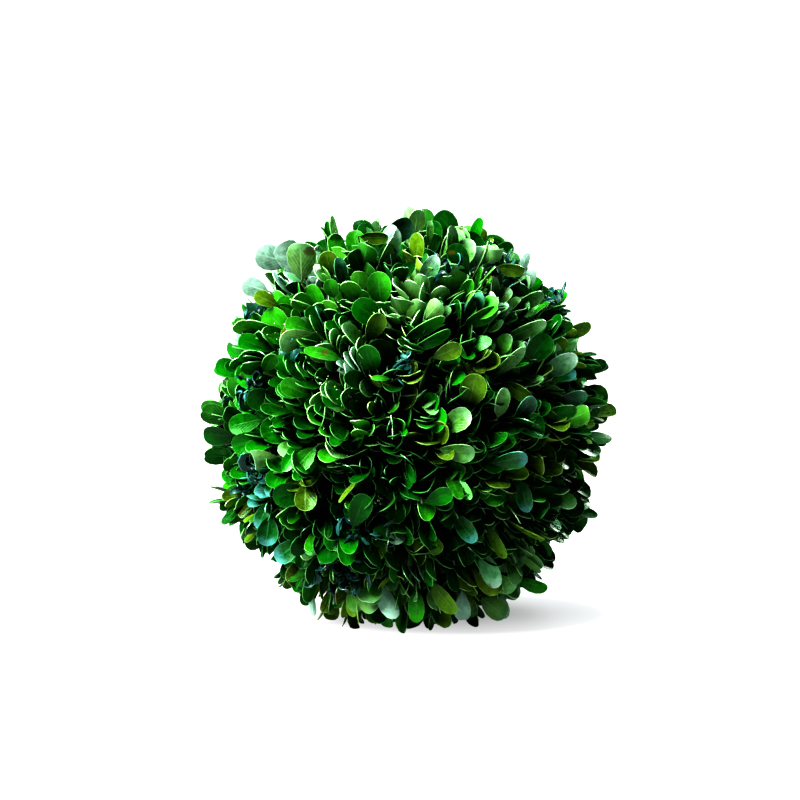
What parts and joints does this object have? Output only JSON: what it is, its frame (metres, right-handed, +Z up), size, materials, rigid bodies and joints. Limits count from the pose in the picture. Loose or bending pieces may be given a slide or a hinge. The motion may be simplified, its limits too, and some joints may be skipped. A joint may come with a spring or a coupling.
{
  "type": "preserved box topiary ball",
  "caption": "Round ball of preserved box foliage: bunches of small leafy sprigs set close round a foam core, resting on its own leaves.",
  "frame": {"origin": "middle of the flat patch under the ball, where its leaves are pressed against the surface it rests on", "axes": "+Z up through the middle of the ball; -Y towards a viewer in front of it, +X to that viewer's right"},
  "size_m": [0.2545, 0.2556, 0.2615],
  "materials": {
    "leaf_green": "waxy mid green leaf",
    "leaf_deep": "waxy deep green leaf",
    "leaf_olive": "olive green leaf with fine veins",
    "leaf_pale": "matt pale green leaf underside",
    "leaf_dried": "dried blue-green leaf, curled",
    "twig": "thin green-brown twig",
    "foam_core": "rough dry foam under moss dust"
  },
  "bodies": {
    "root": {"foam_core": "foam_core", "foliage_crown": "leaf_green", "foliage_upper_1": "leaf_green", "foliage_upper_2": "leaf_green", "foliage_upper_3": "leaf_green", "foliage_upper_4": "leaf_green", "foliage_upper_5": "leaf_green", "foliage_upper_6": "leaf_green", "foliage_shoulder_1": "leaf_green", "foliage_shoulder_2": "leaf_green", "foliage_shoulder_3": "leaf_green", "foliage_shoulder_4": "leaf_green", "foliage_shoulder_5": "leaf_green", "foliage_shoulder_6": "leaf_green", "foliage_shoulder_7": "leaf_green", "foliage_shoulder_8": "leaf_green", "foliage_shoulder_9": "leaf_green", "foliage_shoulder_10": "leaf_green", "foliage_belt_1": "leaf_green", "foliage_belt_2": "leaf_green", "foliage_belt_3": "leaf_green", "foliage_belt_4": "leaf_green", "foliage_belt_5": "leaf_green", "foliage_belt_6": "leaf_green", "foliage_belt_7": "leaf_green", "foliage_belt_8": "leaf_green", "foliage_belt_9": "leaf_green", "foliage_belt_10": "leaf_green", "foliage_belt_11": "leaf_green", "foliage_lower_1": "leaf_green", "foliage_lower_2": "leaf_green", "foliage_lower_3": "leaf_green", "foliage_lower_4": "leaf_green", "foliage_lower_5": "leaf_green", "foliage_lower_6": "leaf_green", "foliage_lower_7": "leaf_green", "foliage_lower_8": "leaf_green", "foliage_lower_9": "leaf_green", "foliage_lower_10": "leaf_green", "foliage_skirt_1": "leaf_green", "foliage_skirt_2": "leaf_green", "foliage_skirt_3": "leaf_green", "foliage_skirt_4": "leaf_green", "foliage_skirt_5": "leaf_green", "foliage_skirt_6": "leaf_green", "foliage_underside": "leaf_green"}
  },
  "joints": []
}
